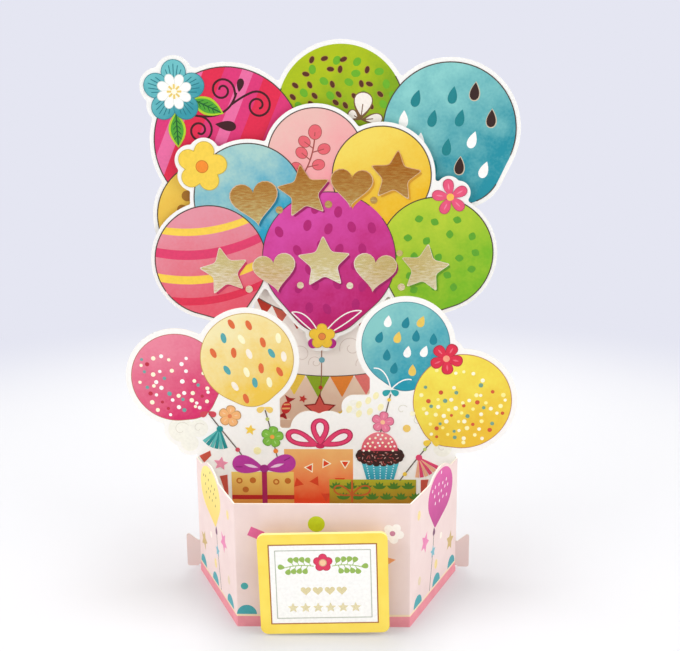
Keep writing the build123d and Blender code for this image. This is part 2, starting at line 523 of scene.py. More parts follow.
def board():
    """The plate's board, yellow on its faces and paler at its edges, where the paler yellow is a painted
    highlight of the lit edge.
    """
    shader = Shader("plate_board", 0.5, 0.35)
    tone = shader.mottled(160, 5, (252, 226, 98), (248, 218, 84))
    # The paler yellow on every cut edge is a painted highlight
    return shader.on_card(shader.mix(shader.on_face(), rgb(252, 236, 150), tone), 0.3)


def wall_card():
    """The tray's card: printed outside with a pale ground and a band along the foot, white inside.
    The flaps behind the scene carry on the ground of the back panel, with its painted shade towards the foot."""
    shader = Shader("tray_card", 0.6, 0.25)
    place = shader.split(shader.place)
    facing = shader.facing()
    outward = shader.maths("MULTIPLY", place["X"], facing["X"])
    outward = shader.maths("MULTIPLY_ADD", place["Y"], facing["Y"], outward)
    band = shader.mottled(260, 4, (240, 156, 166), (232, 142, 154))
    ground = shader.mottled(120, 5, (240, 219, 214), (234, 211, 206))
    printed = shader.mix(shader.over(place["Z"], band_top * mm), band, rgb(244, 222, 186))
    printed = shader.mix(shader.over(place["Z"], line_top * mm), printed, ground)
    behind = shader.over(place["Y"], (rear_y - 2.0) * mm)
    to_front = shader.maths("LESS_THAN", facing["Y"], -0.9)
    # The flaps take the ground's colours, with its painted shade darker towards the foot
    upper, lower, high, low = trunk_colours_and_shade
    flap = shader.ramp(shader.down(high, low), (0.0, upper), (1.0, lower))
    inner = shader.mix(shader.maths("MULTIPLY", behind, to_front), rgb(244, 241, 236), flap)
    colour = shader.mix(shader.over(outward, 0.0), inner, printed)
    rim = shader.over(facing["Z"], 0.5)
    return shader.on_card(shader.mix(rim, colour, rgb(252, 246, 232)), 0.3)


def foam_stuff():
    """Closed-cell foam: matt, with small pores."""
    shader = Shader("foam", 0.9, 0.1)
    pores = shader.node("ShaderNodeTexVoronoi", {"Vector": shader.place, "Scale": 2200})["Distance"]
    shader.paint(shader.ramp(pores, (0.1, (205, 203, 196)), (0.6, (240, 239, 234))))
    shader.bump(pores, 0.6, 0.1)
    return shader.material


# Printing

def shown(name, data):
    """An object in the scene that holds a mesh, a lamp or a camera."""
    made = bpy.data.objects.new(name, data)
    bpy.context.scene.collection.objects.link(made)
    return made


class Face:
    """A flat printed face, drawn on to the right and up from its origin."""

    def __init__(self, origin, right, up=(0, 0, 1)):
        self.origin = Vector(origin)
        self.right = Vector(right).normalized()
        self.up = Vector(up).normalized()
        self.out = self.right.cross(self.up)

    def place(self, point, height):
        return mm * (self.origin + point[0] * self.right + point[1] * self.up + height * self.out)


def front_face(y):
    return Face((0, y, 0), (1, 0, 0))


class Print:
    """Thin closed flakes of ink and foil that lie on printed faces, as one piece."""

    def __init__(self, name, face, slot):
        self.name = name
        self.face = face
        self.slot = slot
        self.mesh = bmesh.new()
        self.materials = []
        self.first_layer = 0

    def raised(self, layers):
        """The same print, drawn on from a higher layer."""
        view = copy(self)
        view.first_layer += layers
        return view

    def rows(self, points, layer):
        """The upper and the lower points of a flake."""
        layer += self.first_layer
        heights = (ink_step * (layer + 1), -ink_sink - sink_step * layer)
        return [[self.mesh.verts.new(self.face.place(p, h)) for p in points] for h in heights]

    def skin(self, corners, material):
        if material not in self.materials:
            self.materials.append(material)
        self.mesh.faces.new(corners).material_index = self.materials.index(material)

    def fill(self, outline, material, layer):
        """A flake with an outline."""
        if len(outline) < 3:
            return
        area = sum(a[0] * b[1] - b[0] * a[1] for a, b in zip(outline, outline[1:] + outline[:1]))
        if area < 0:
            outline = outline[::-1]
        upper, lower = self.rows(outline, layer)
        self.skin(upper, material)
        self.skin(lower[::-1], material)
        for i, a in enumerate(upper):
            j = (i + 1) % len(upper)
            self.skin((a, lower[i], lower[j], upper[j]), material)

    def strip(self, left, right, material, layer, closed=False):
        """A flake between two lines of as many points."""
        left_upper, left_lower = self.rows(left, layer)
        right_upper, right_lower = self.rows(right, layer)
        rings = list(zip(left_upper, right_upper, right_lower, left_lower))
        pairs = list(zip(rings, rings[1:]))
        if closed:
            pairs.append((rings[-1], rings[0]))
        else:
            self.skin(rings[0][::-1], material)
            self.skin(rings[-1], material)
        for a, b in pairs:
            for k in range(4):
                m = (k + 1) % 4
                self.skin((a[k], a[m], b[m], b[k]), material)

    def line(self, path, width, material, layer, closed=False):
        """A line drawn along a path."""
        left, right = [], []
        last = len(path) - 1
        for i, (x, z) in enumerate(path):
            before = path[i - 1] if i > 0 or closed else path[i]
            after = path[(i + 1) % len(path)] if i < last or closed else path[i]
            dx, dz = after[0] - before[0], after[1] - before[1]
            length = hypot(dx, dz) or 1.0
            ox, oz = -dz / length * width / 2, dx / length * width / 2
            left.append((x + ox, z + oz))
            right.append((x - ox, z - oz))
        self.strip(left, right, material, layer, closed)

    def keyline(self, outline, layer, gaps, width):
        """A thin dark line round an outline, left out over each gap, given as shares of the way round."""
        count = len(outline)
        starts = [int(end * count) for start, end in gaps]
        ends = [int(start * count) for start, end in gaps[1:] + gaps[:1]]
        for start, end in zip(starts, ends):
            if end <= start:
                end += count
            path = [outline[i % count] for i in range(start, end + 1)]
            self.line(path, width, outline_ink, layer)

    def dots(self, spots, layer, count=14):
        """Round dots, each with its place, radius and ink."""
        for x, z, radius, tint in spots:
            self.fill(circle(x, z, radius, count), tint, layer)

    def stars(self, spots, layer, turn):
        for x, z, radius, tint in spots:
            self.fill(star(x, z, radius, turn), tint, layer)

    def done(self):
        """Makes the piece, which rides with the card."""
        mesh = bpy.data.meshes.new(self.name)
        self.mesh.to_mesh(mesh)
        self.mesh.free()
        for material in self.materials:
            mesh.materials.append(material)
        piece = shown(self.name, mesh)
        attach(piece, "root")


def lined_balloon(sheet, figure, colours, gaps, width=keyline_width):
    """A balloon in a wash of colours, with a keyline that is broken at gaps."""
    sheet.fill(balloon(figure), wash(figure, *colours), 0)
    sheet.keyline(balloon(figure, -0.1), 3, gaps, width)


def rimmed_balloon(sheet, figure, colours, rim):
    """A balloon in a wash of colours, with a printed rim."""
    sheet.fill(balloon(figure, rim_width), ink(*rim), 0)
    sheet.fill(balloon(figure), wash(figure, *colours), 1)


outline_ink = ink(74, 58, 48)
string_ink = ink(96, 82, 74)
white_ink = ink(250, 248, 244)
cream_ink = ink(252, 246, 214)
chocolate = ink(52, 26, 22)
crimson = ink(222, 38, 74)
hot_pink = ink(218, 52, 116)
rose = ink(230, 106, 158)
orange = ink(238, 138, 52)
teal_ink = ink(44, 160, 165)
sunny = ink(246, 208, 76)


# Rear group of balloons

def rear_print():
    sheet = Print("rear_print", front_face(rear_y), "back_card")
    trunk(sheet)
    lime_balloon(sheet.raised(4))
    red_balloon(sheet.raised(9))
    teal_balloon(sheet.raised(9))
    gold_balloon(sheet.raised(14))
    teal_blossom(sheet.raised(18))
    sheet.done()


def lime_balloon(sheet):
    """Seeds and green blots on the upper half, and a sprig."""
    colours = ("lime_wash", (172, 190, 10), (108, 156, 16))
    lined_balloon(sheet, lime, colours, [(0.05, 0.09), (0.36, 0.42), (0.6, 0.95)])
    for i, x, z in scatter(balloon(lime, -2.8), 4.9, 3, 0.26):
        turn = 40 + 100 * sin(3.1 * i)
        if z < lime.z - 2:
            continue
        if i % 5 in (1, 3):
            sheet.fill(oval(x, z, 3.7, 2.9, turn, 14), ink(104, 174, 34), 1)
        else:
            sheet.fill(oval(x, z, 3.2, 2.2, turn, 14), ink(166, 128, 56), 1)
            sheet.fill(oval(x, z, 2.8, 1.7, turn, 14), ink(84, 40, 20), 2)
    sprig(sheet.raised(3), 13.2, 172.6)


def sprig(sheet, x, z):
    """Three pale leaves from one point."""
    brown = ink(118, 84, 48)
    stalk = 1.6
    for i, (length, width, turn) in enumerate(((10.4, 6.8, 82), (8.2, 3.6, 4), (5.2, 3.4, 148))):
        sheet.fill(drop(x, z, length + 0.7, width + 0.8, turn), brown, 0.2 * i)
        inner = drop(*out_from(x, z, stalk, turn), length - 1.4, width, turn)
        sheet.fill(inner, ink(244, 236, 226), 0.2 * i + 0.1)
        sheet.line(ray(x, z, stalk, 0.6 * length, turn), 0.4, brown, 1)


def red_balloon(sheet):
    """Slanting stripes that lie side by side, and a scroll."""
    colours = ("red_wash", (224, 70, 128), (214, 40, 84), 0.3)
    lined_balloon(sheet, red, colours, [(0.2, 0.21), (0.42, 0.45)])
    lean = 23
    half_length = 45
    place = -31.5
    for i, (width, tint) in enumerate((
        (7.0, hot_pink), (5.5, rose), (7.5, crimson), (6.5, hot_pink), (4.5, rose), (4.5, hot_pink),
        (8.5, crimson), (7.5, hot_pink), (4.0, rose), (8.0, crimson),
    )):
        stripe = rectangle(place, -half_length, place + width, half_length)
        shape = clip(turned(stripe, red.x, red.z, -lean), balloon(red))
        sheet.fill(shape, tint, 1 + 0.1 * (i % 2))
        place += width
    scroll(sheet.raised(2))


def scroll(sheet):
    """A plain scroll: three coils that leave one stem, with two drops."""
    scroll_ink = ink(58, 16, 22)
    width = 0.85
    stem = bend((-52.4, 174.6), (-39.0, 172.4), (-35.8, 183.4), 16)
    sheet.line(stem, width, scroll_ink, 0)
    for i, (joint, pull, coil) in enumerate((
        (stem[12], (-33.2, 182.2), spiral(-27.4, 178.4, 5.6, 110, -1.5)),
        (stem[15], (-36.3, 183.8), spiral(-41.4, 184.4, 4.8, 10, 1.45)),
        (stem[1], (-47.9, 174.0), spiral(-50.8, 168.8, 5.0, 30, -1.45)),
    )):
        path = bend(joint, pull, coil[0], 8)[:-1] + coil
        sheet.line(path, width, scroll_ink, 0.1 + 0.1 * i)
    sheet.fill(drop(-34.8, 183.6, 5.4, 2.8, 78), scroll_ink, 0)
    sheet.fill(drop(-44.6, 171.2, 8.4, 4.0, -8), scroll_ink, 0)


def teal_balloon(sheet):
    """Hanging drops, of which the dark ones have a pale rim."""
    colours = ("teal_wash", (136, 204, 200), (28, 141, 158), 0.6)
    lined_balloon(sheet, teal, colours, [(0.18, 0.2), (0.3, 0.32), (0.42, 0.45)])
    deep, dark = ink(24, 128, 134), ink(50, 26, 20)
    tints = (deep, white_ink, deep, dark, white_ink)
    for i, x, z in scatter(balloon(teal, -4.5), 11.0, 8, 0.16):
        tint = tints[(i * 3 + i // 5) % 5]
        turn = -101 + 8 * sin(2.3 * i)
        if tint is dark:
            sheet.fill(drop(x + 0.1, z + 4.2, 7.7, 4.4, turn), ink(206, 190, 164), 1)
        sheet.fill(drop(x, z + 3.8, 6.9, 3.7, turn), tint, 2)


def gold_balloon(sheet):
    colours = ("gold_wash", (236, 198, 80), (224, 170, 50), 0.4)
    lined_balloon(sheet, gold, colours, [(0.55, 0.57), (0.8, 0.84)])
    for i, x, z in scatter(balloon(gold, -3.5), 9.5, 5):
        sheet.fill(circle(x, z, 2.2, 18), ink(166, 112, 34), 1)


def leaf(sheet, x, z, turn):
    """A pointed leaf with a pale edge, a midrib and side veins."""
    dark = ink(26, 92, 40)
    sheet.fill(lens(x, z, 14.4, 7.0, turn), ink(172, 206, 42), 0)
    sheet.fill(lens(x, z, 12.6, 5.2, turn), ink(76, 160, 48), 1)
    sheet.line(ray(x, z, -6.5, 6.0, turn), 0.55, dark, 2)
    for k in (-3.6, -1.6, 0.4, 2.4):
        for side in (-1, 1):
            vein = turned([(k, 0.2 * side), (k + 1.5, 1.5 * side)], x, z, turn)
            sheet.line(vein, 0.32, dark, 1.5)


def teal_blossom(sheet):
    """A flower with two leaves at the upper left."""
    leaf(sheet, -47.6, 178.3, -25)
    leaf(sheet, -59.8, 169.1, -88)
    x, z, radius, first_turn = teal_flower
    petal = petal_share * radius
    petal_wash = wash(teal_flower, "petal_wash", (108, 190, 194), (50, 148, 162), 0.7)
    for i in range(5):
        axis = first_turn + 72 * i
        middle = out_from(x, z, radius - petal, axis)
        rise = 3 + 0.3 * i
        sheet.fill(circle(*middle, petal + rim_width, 32), ink(44, 120, 132), rise)
        sheet.fill(circle(*middle, petal, 32), petal_wash, rise + 0.1)
        for spread, reach in ((-20, 0.74), (-10, 0.84), (0, 0.88), (10, 0.84), (20, 0.74)):
            vein = ray(x, z, 0.4 * radius, reach * radius, axis + spread)
            sheet.line(vein, 0.36, ink(32, 116, 128), rise + 0.2)
    for i in range(8):
        turn = 45 * i + 20
        sheet.fill(drop(x, z, 7.2, 3.9, turn), ink(214, 222, 216), 6 + 0.2 * i)
        sheet.fill(drop(x, z, 6.9, 3.4, turn), white_ink, 6.1 + 0.2 * i)
        sheet.line(ray(x, z, 1.1, 2.9, 45 * i), 0.8, ink(230, 202, 104), 9)
    sheet.fill(circle(x, z, 2.7, 18), ink(252, 246, 226), 8)


def flags(sheet, half, height, sag, count, tints, length):
    """A string of flags that hangs across the trunk."""
    path = bend((-half, height), (0, height - sag), (half, height), 4 * count)
    for i in range(count):
        left, right = path[4 * i], path[4 * i + 4]
        flag = [left, ((left[0] + right[0]) / 2, (left[1] + right[1]) / 2 - length), right]
        sheet.fill(rounded(flag, 0.5, 2), tints[i % len(tints)], 0)
    sheet.line(path, 0.4, string_ink, 1)


def sweet(sheet, x, z, turn):
    """A wrapped sweet with a twist of paper at each end."""
    twist = [(2.0, 0), (5.2, 2.4), (4.6, 0), (5.2, -2.4)]
    for side in (0, 180):
        sheet.fill(turned(twist, x, z, turn + side), ink(170, 30, 34), 0)
    sheet.fill(oval(x, z, 5.6, 4.0, turn), ink(212, 50, 48), 1)
    for stripe, width in (([(-1.0, 1.5), (0.2, -1.6)], 0.7), ([(0.9, 1.5), (1.9, -0.9)], 0.6)):
        sheet.line(turned(stripe, x, z, turn), width, ink(246, 190, 120), 2)


def trunk(sheet):
    """The back of the tray, which shows between the scene's balloons."""
    half = front_width / 2 - 0.6
    horizon = trunk_colours_and_shade[2]
    brick = ink(188, 52, 34)
    sky = fade("trunk_sky", (252, 246, 240), (246, 238, 230), 108, horizon)
    sheet.fill(rectangle(-half, horizon, half, 112), sky, 0)
    # The printed ground darkens towards the foot of the tray: painted shade
    sheet.fill(rectangle(-half, 0.4, half, horizon), fade("trunk_ground_and_shade", *trunk_colours_and_shade), 0.1)
    for x, z, radius in ((-12, 76, 4.5), (9, 79, 5.0), (14, 72, 3.2), (-6, 72.5, 3.0)):
        sheet.line(spiral(x, z, radius, 200, -1.2), 0.3, ink(222, 208, 198), 1)
    flags(sheet.raised(1), half, 101, 20, 9, (brick, ink(206, 96, 78)), 6.4)
    bunting = (ink(234, 120, 122), sunny, ink(146, 176, 34), orange, ink(236, 122, 116), ink(92, 180, 176))
    flags(sheet.raised(2), half, 71, 9, 6, bunting, 9.6)
    sheet.line([(-3.2, 82), (-3.6, 66), (-4.2, 57)], 0.4, ink(150, 96, 70), 4)
    sheet.dots([(-3.3, 73.6, 1.25, ink(112, 176, 188))], 5)
    sheet.dots([(-4.0, 61.5, 0.9, brick)], 5, 12)
    sheet.fill(star(-4.4, 51.6, 7.2), ink(150, 40, 34), 5)
    sheet.fill(star(-4.4, 51.6, 5.9), ink(226, 92, 82), 6)
    sweet(sheet.raised(3), -18.6, 52.6, 70)
    sweet(sheet.raised(3), 11.6, 48.8, -28)
    sheet.stars((
        (-11.5, 56.5, 1.9, ink(206, 58, 50)), (9.0, 56.0, 2.2, orange), (-12.0, 48.0, 1.7, sunny),
        (4.5, 50.0, 1.6, sunny), (-20, 61, 2.0, sunny), (20, 60, 2.0, rose),
    ), 4, 70)


# Front group of balloons

def front_print():
    sheet = Print("front_print", front_face(front_y), "balloon_card")
    blush_balloon(sheet)
    colours = ("yellow_wash", (240, 214, 92), (234, 182, 24), 0.35)
    lined_balloon(sheet.raised(4), yellow, colours, [(0.33, 0.36)])
    colours = ("blue_wash", (166, 206, 200), (34, 158, 192), 0.7)
    lined_balloon(sheet.raised(4), blue, colours, [(0.3, 0.32), (0.44, 0.46)])
    striped_balloon(sheet.raised(8))
    green_balloon(sheet.raised(8))
    magenta_balloon(sheet.raised(13))
    blossoms(sheet.raised(18))
    sheet.done()


def blush_balloon(sheet):
    """A stem with round leaves on both sides and one at its top."""
    colours = ("blush_wash", (234, 186, 178), (240, 154, 160), 0.4)
    lined_balloon(sheet, blush, colours, [(0.28, 0.3), (0.4, 0.43)])
    stem_ink = ink(160, 72, 66)
    top = 12
    stem = bend((-11.4, 149.0), (-5.6, 156.5), (-5.0, 166.5), top)
    sheet.line(stem, 0.55, stem_ink, 1)
    for step, turn, reach in (
        (2, 138, 3.6), (4, 12, 4.6), (6, 140, 4.4), (8, 16, 4.8), (9, 142, 4.4), (top, 84, 1.6),
    ):
        middle = out_from(*stem[step], reach, turn)
        width, height = (5.6, 5.0) if step == top else (4.8, 4.0)
        sheet.line([stem[step], middle], 0.45, stem_ink, 1.1)
        sheet.fill(oval(*middle, width + 0.5, height + 0.5, turn), stem_ink, 1.2)
        sheet.fill(oval(*middle, width, height, turn), ink(226, 98, 108), 2)
        sheet.line([stem[step], middle], 0.3, stem_ink, 2.5)


def striped_balloon(sheet):
    """Stripes that sag towards the left of the balloon's middle."""
    colours = ("striped_wash", (226, 146, 160), (228, 88, 108), 0.3, (0.2, -0.98))
    lined_balloon(sheet, striped, colours, [(0.1, 0.11), (0.3, 0.32)])
    shape = balloon(striped)
    radius = striped.radius + 1
    steps = 24
    for rise, width, tint in (
        (11.9, 3.0, sunny), (2.4, 3.9, ink(222, 60, 106)), (-8.0, 3.4, sunny), (-17.0, 3.2, ink(222, 48, 80)),
    ):
        upper, lower = [], []
        for i in range(steps + 1):
            across = -1 + 2 * i / steps
            dip = 4.6 * (across + 0.4) ** 2
            for edge, side in ((upper, 1), (lower, -1)):
                z = striped.z + rise + dip + side * width / 2
                edge.append((striped.x + across * radius, z))
        sheet.fill(clip(lower + upper[::-1], shape), tint, 1)


def green_balloon(sheet):
    colours = ("green_wash", (184, 206, 52), (116, 182, 28), 0.6)
    lined_balloon(sheet, green, colours, [(0.12, 0.16)])
    speck = [(2.2, 0), (0, 1.9), (-2.2, 0), (0, -1.9)]
    for i, x, z in scatter(balloon(green, -3.2), 8.2, 12, 0.2):
        shape = rounded(turned(speck, x, z, 30 + 60 * sin(i)), 1.2, 3)
        sheet.fill(shape, ink(92, 164, 40), 1)


def magenta_balloon(sheet):
    colours = ("magenta_wash", (212, 72, 164), (188, 26, 108), 0.5)
    lined_balloon(sheet, magenta, colours, [(0.62, 0.66)], 0.3)
    for i, x, z in scatter(balloon(magenta, -4.0), 9.2, 21, 0.18):
        sheet.fill(oval(x, z, 3.3, 4.7, 25 * sin(1.7 * i), 16), ink(176, 28, 112), 1)


def blossoms(sheet):
    """The three flowers of the front group, and the knot under the middle balloon."""
    for turn in (-28, 208):
        tail = drop(knot_flower.x, knot_flower.z - 1.0, 6.4, 4.2, turn)
        sheet.fill(tail, ink(180, 36, 132), 0.002 * turn)
    for i, path in enumerate((
        bend((-1.2, 87.0), (6.5, 96.5), (13.4, 95.4)), bend((13.4, 95.4), (8.0, 90.4), (0.2, 86.0)),
        bend((-4.8, 87.0), (-9.5, 96.0), (-15.4, 94.8)), bend((-15.4, 94.8), (-10.5, 89.8), (-6.0, 86.0)),
    )):
        sheet.line(path, 0.5, white_ink, 0.1 * i)
    petal_flower(sheet.raised(1), yellow_flower, (242, 206, 74), (240, 140, 44), 2.3)
    petal_flower(sheet.raised(1), knot_flower, (244, 202, 60), (234, 140, 70), 1.3)
    drop_flower(sheet.raised(1), pink_flower, 7.1, 3.9, (230, 84, 122), (246, 190, 84))


def drop_flower(sheet, figure, length, width, petals, eye):
    """A flower with five petals that narrow to the middle, each with a darker rim and a pale streak."""
    x, z = figure.x, figure.z
    rim = ink(*[0.8 * c for c in petals])
    streak = ink(*[0.7 * c + 76 for c in petals])
    for i in range(5):
        turn = figure.turn + 72 * i
        sheet.fill(drop(x, z, length + 0.3, width + 0.5, turn), rim, 0.2 * i)
        sheet.fill(drop(x, z, length, width, turn), ink(*petals), 0.2 * i + 0.1)
        middle = out_from(x, z, 0.6 * length, turn)
        sheet.fill(lens(*middle, 0.42 * length, 0.16 * width, turn), streak, 1.2)
    sheet.fill(circle(x, z, 0.21 * length, 18), ink(*eye), 2)


def petal_flower(sheet, figure, petals, eye, eye_radius, share=petal_share):
    """A flower with five round petals, a darker rim and an eye."""
    rim, eye_rim = [ink(*[0.84 * c for c in colour]) for colour in (petals, eye)]
    sheet.fill(flower(figure, share, rim_width), rim, 0)
    sheet.fill(flower(figure, share), ink(*petals), 1)
    sheet.fill(circle(figure.x, figure.z, eye_radius + 0.3, 18), eye_rim, 2)
    sheet.fill(circle(figure.x, figure.z, eye_radius, 18), ink(*eye), 3)


def foil_heart(x, z, size, turn, grow):
    return heart(x, z, size + 2 * grow, turn)


def foil_star(x, z, size, turn, grow):
    return rounded(star(x, z, size + 1.5 * grow, turn), 1.4)


def foil_print():
    """Two rows of foil hearts and stars across the front group, each with a printed shadow."""
    sheet = Print("foil_print", front_face(front_y), "balloon_card")
    high, low = 158, 102
    # The golds run from dark at the top to near white at the foot: painted reflection
    golds_and_reflection = ((184, 112, 40), (200, 150, 76), (220, 200, 132), (228, 210, 142), (255, 248, 222))
    gold_foil_and_reflection = foil("gold_foil_and_reflection", high, low, *golds_and_reflection)
    # A paler foil rim round each figure: a painted highlight along its edge
    foil_rim_highlight = foil("foil_rim_highlight", high, low, (236, 190, 136), (255, 250, 230))
    on_blue, on_pink, on_rose = ink(26, 120, 146), ink(150, 20, 92), ink(196, 50, 90)
    on_green, on_yellow = ink(96, 150, 30), ink(206, 148, 40)
    for i, (shape, x, z, size, turn, shade) in enumerate((
        (foil_heart, -29.5, 141.0, 19.0, 8, on_blue), (foil_star, -9.5, 144.5, 11.0, 98, on_pink),
        (foil_heart, 9.5, 147.0, 16.5, -4, on_yellow), (foil_star, 27.0, 150.5, 10.5, 84, on_yellow),
        (foil_star, -42.5, 112.0, 10.2, 100, on_rose), (foil_heart, -22.0, 112.5, 17.0, 8, on_pink),
        (foil_star, -1.8, 115.5, 11.0, 92, on_pink), (foil_heart, 18.8, 112.5, 17.0, -6, on_pink),
        (foil_star, 39.0, 113.0, 10.2, 82, on_green),
    )):
        sheet.fill(shape(x + 0.9, z - 0.9, size, turn, 0.0), shade, 23 + 0.1 * i)
        sheet.fill(shape(x, z, size, turn, 0.35), foil_rim_highlight, 24 + 0.1 * i)
        sheet.fill(shape(x, z, size, turn, 0.0), gold_foil_and_reflection, 26 + 0.1 * i)
    for x, z, radius in (
        (-19.6, 137.2, 1.5), (0.2, 139.4, 1.5), (18.4, 141.0, 1.4), (-32.6, 104.6, 1.5),
        (-11.6, 106.2, 1.4), (8.6, 106.0, 1.4), (29.6, 105.4, 1.5), (28.8, 119.4, 1.3),
    ):
        sheet.fill(circle(x, z, radius, 18), gold_foil_and_reflection, 26)
    sheet.done()


# Scene across the middle of the tray

def scene_print():
    sheet = Print("scene_print", front_face(scene_y), "scene_card")
    clouds(sheet)
    on_pink = (white_ink, cream_ink, ink(190, 44, 66), white_ink, ink(110, 164, 160), cream_ink)
    colours = ("pink_wash", (232, 132, 154), (214, 44, 104), 0.4)
    confetti_balloon(sheet.raised(2), pink, colours, on_pink, 31)
    sprinkle_balloon(sheet.raised(7))
    drop_balloon(sheet.raised(2))
    on_yellow = (
        ink(252, 244, 176), cream_ink, ink(208, 88, 52), ink(252, 240, 150), ink(112, 158, 136), cream_ink,
    )
    colours = ("dotted_wash", (242, 226, 84), (234, 190, 50), 0.6)
    confetti_balloon(sheet.raised(7), dotted, colours, on_yellow, 44)
    drop_flower(sheet.raised(12), red_flower, 6.0, 4.0, (220, 44, 72), (244, 160, 130))
    strings(sheet.raised(10))
    small_figures(sheet.raised(10))
    tall_gift(sheet.raised(2))
    low_gift(sheet.raised(7))
    flat_gift(sheet.raised(8))
    cupcake(sheet.raised(12))
    sheet.done()


def clouds(sheet):
    """Pale clouds at the sheet's edges, with curls drawn in a slightly darker line."""
    for i, (x, z, radius) in enumerate((
        (-55.8, 58.9, 5.0), (-52.7, 53.5, 3.4), (-49.0, 59.5, 3.6),
        (10.6, 68.2, 2.8), (44.6, 51.6, 3.6), (40.0, 61.0, 3.2),
    )):
        sheet.fill(circle(x, z, radius, 28), ink(244, 242, 230), 0.1 * i)
    for x, z, radius in (
        (-55.8, 58.9, 3.4), (-49.0, 59.5, 2.4), (44.6, 51.6, 2.4), (35.2, 62.5, 2.6), (29.0, 67.0, 2.2),
    ):
        sheet.line(spiral(x, z, radius, 30, 0.8, 18), 0.28, ink(224, 220, 206), 1)
    for x, z in (
        (8.8, 67.2), (12.5, 69.1), (16.1, 70.7), (19.0, 72.6), (16.7, 66.3), (20.8, 68.0), (12.5, 65.4),
    ):
        sheet.fill(oval(x, z, 2.2, 3.0, -20), ink(248, 240, 186), 1)


def confetti_balloon(sheet, figure, colours, tints, seed):
    """A balloon with small round confetti that lies thicker towards the foot."""
    rimmed_balloon(sheet, figure, colours, (176, 110, 84))
    draw = random.Random(seed)
    for i, x, z in scatter(balloon(figure, -1.7), 3.3, seed, 0.32):
        depth = (figure.z + figure.radius - z) / (2 * figure.radius)
        if draw.random() < 1.6 * depth - 0.08:
            sheet.fill(circle(x, z, draw.uniform(0.6, 0.9), 14), tints[i % 6], 2)


def sprinkle_balloon(sheet):
    colours = ("lemon_wash", (243, 230, 176), (240, 200, 76), 0.5)
    rimmed_balloon(sheet, lemon, colours, (196, 158, 72))
    rust = ink(222, 106, 58)
    tints = (rust, ink(252, 246, 204), ink(248, 238, 222), rust, ink(84, 166, 170))
    for i, x, z in scatter(balloon(lemon, -2.6), 6.7, 17, 0.2):
        shape = oval(x, z, 2.1, 4.1, 18 + 14 * sin(1.9 * i), 16)
        sheet.fill(shape, tints[(i * 2 + i // 4) % 5], 2)


def drop_balloon(sheet):
    colours = ("drops_wash", (134, 200, 196), (26, 150, 172), 0.5)
    rimmed_balloon(sheet, drops, colours, (64, 122, 132))
    deep = ink(24, 130, 146)
    tints = (deep, white_ink, deep, ink(234, 198, 90))
    for i, x, z in scatter(balloon(drops, -2.8), 7.0, 23, 0.18):
        shape = drop(x, z + 2.4, 4.6, 2.9, -102 + 10 * sin(i))
        sheet.fill(shape, tints[(i * 3 + i // 4) % 4], 2)


def tassel(sheet, x, z, turn, tint, pale):
    """Strands that fan out from a bound head."""
    blade = [(0.8, -0.28), (8.2, -0.75), (8.2, 0.75), (0.8, 0.28)]
    for i in range(6):
        strand = turned(blade, x, z, turn + 13 * (i - 2.5))
        sheet.fill(strand, tint if i % 2 else pale, 0.1 * i)
    sheet.fill(circle(x, z, 1.25, 14), tint, 1)


def strings(sheet):
    """Strings from the balloons' knots, with beads and tassels."""
    for route in (
        [(-45.0, 65.4), (-40.7, 59.4), (-34.3, 50.8), (-32.4, 48.0)],
        [(-23.3, 66.8), (-21.8, 61.0), (-20.4, 54.0), (-19.0, 47.5)],
        [(24.6, 73.2), (23.0, 66.5), (21.4, 60.5), (20.6, 57.0)],
        [(40.1, 53.8), (35.3, 47.8), (30.0, 40.6), (28.2, 38.0)],
    ):
        sheet.line(route, 0.42, string_ink, 0)
    sheet.dots((
        (-34.3, 50.7, 0.9, ink(206, 74, 92)), (-22.5, 63.2, 0.75, ink(190, 200, 110)),
        (-19.6, 50.2, 0.95, orange), (37.8, 51.0, 0.7, ink(190, 206, 120)),
        (30.2, 40.8, 0.85, sunny), (24.0, 71.0, 0.7, sunny),
    ), 1)
    tassel(sheet.raised(1), -40.9, 59.2, -108, ink(28, 140, 140), ink(92, 182, 178))
    tassel(sheet.raised(1), 35.6, 47.6, -62, ink(222, 70, 112), ink(234, 176, 140))
    for x, z, tint in (
        (-45.2, 65.6, ink(206, 70, 84)), (-23.4, 67.4, ink(240, 206, 110)),
        (24.6, 74.2, teal_ink), (40.3, 54.0, ink(240, 204, 70)),
    ):
        for turn in (-150, -30):
            sheet.fill(drop(x, z + 0.6, 3.4, 2.4, turn), tint, 1 - 0.002 * turn)
    left_end = bend((24.6, 75.6), (22.8, 84.0), (18.2, 83.6))
    right_end = bend((24.8, 75.2), (29.0, 80.0), (32.5, 79.0))
    sheet.line(left_end, 0.45, white_ink, 0.1)
    sheet.line(right_end, 0.45, white_ink, 0.2)


def small_figures(sheet):
    """Loose flowers, stars, dots and flags between the strings."""
    for x, z, width, petals, eye in (
        (-36.9, 64.4, 3.2, (242, 180, 116), (228, 128, 76)),
        (-20.8, 56.0, 3.2, (128, 190, 66), (240, 158, 70)),
        (21.6, 62.0, 3.0, (234, 124, 154), (250, 196, 150)),
    ):
        drop_flower(sheet.raised(2), Flower(x, z, 4.1, 80), 4.1, width, petals, eye)
    sheet.stars(((-29.2, 58.8, 2.2, sunny), (-41.0, 45.0, 2.9, ink(236, 146, 172))), 0, 80)
    sheet.dots((
        (-26.7, 50.3, 1.5, ink(248, 240, 180)), (30.8, 59.5, 1.5, ink(240, 202, 104)),
        (33.0, 65.5, 1.0, cream_ink),
    ), 0, 16)
    for flag in (
        [(-49.2, 48.2), (-45.0, 50.3), (-44.6, 48.4), (-47.4, 45.4)],
        [(-41.6, 39.8), (-38.6, 40.4), (-38.4, 32.0), (-39.6, 32.6)],
        [(36.4, 38.4), (39.4, 38.6), (38.6, 34.6), (36.4, 32.0)],
    ):
        sheet.fill(flag, ink(198, 80, 62), 0)


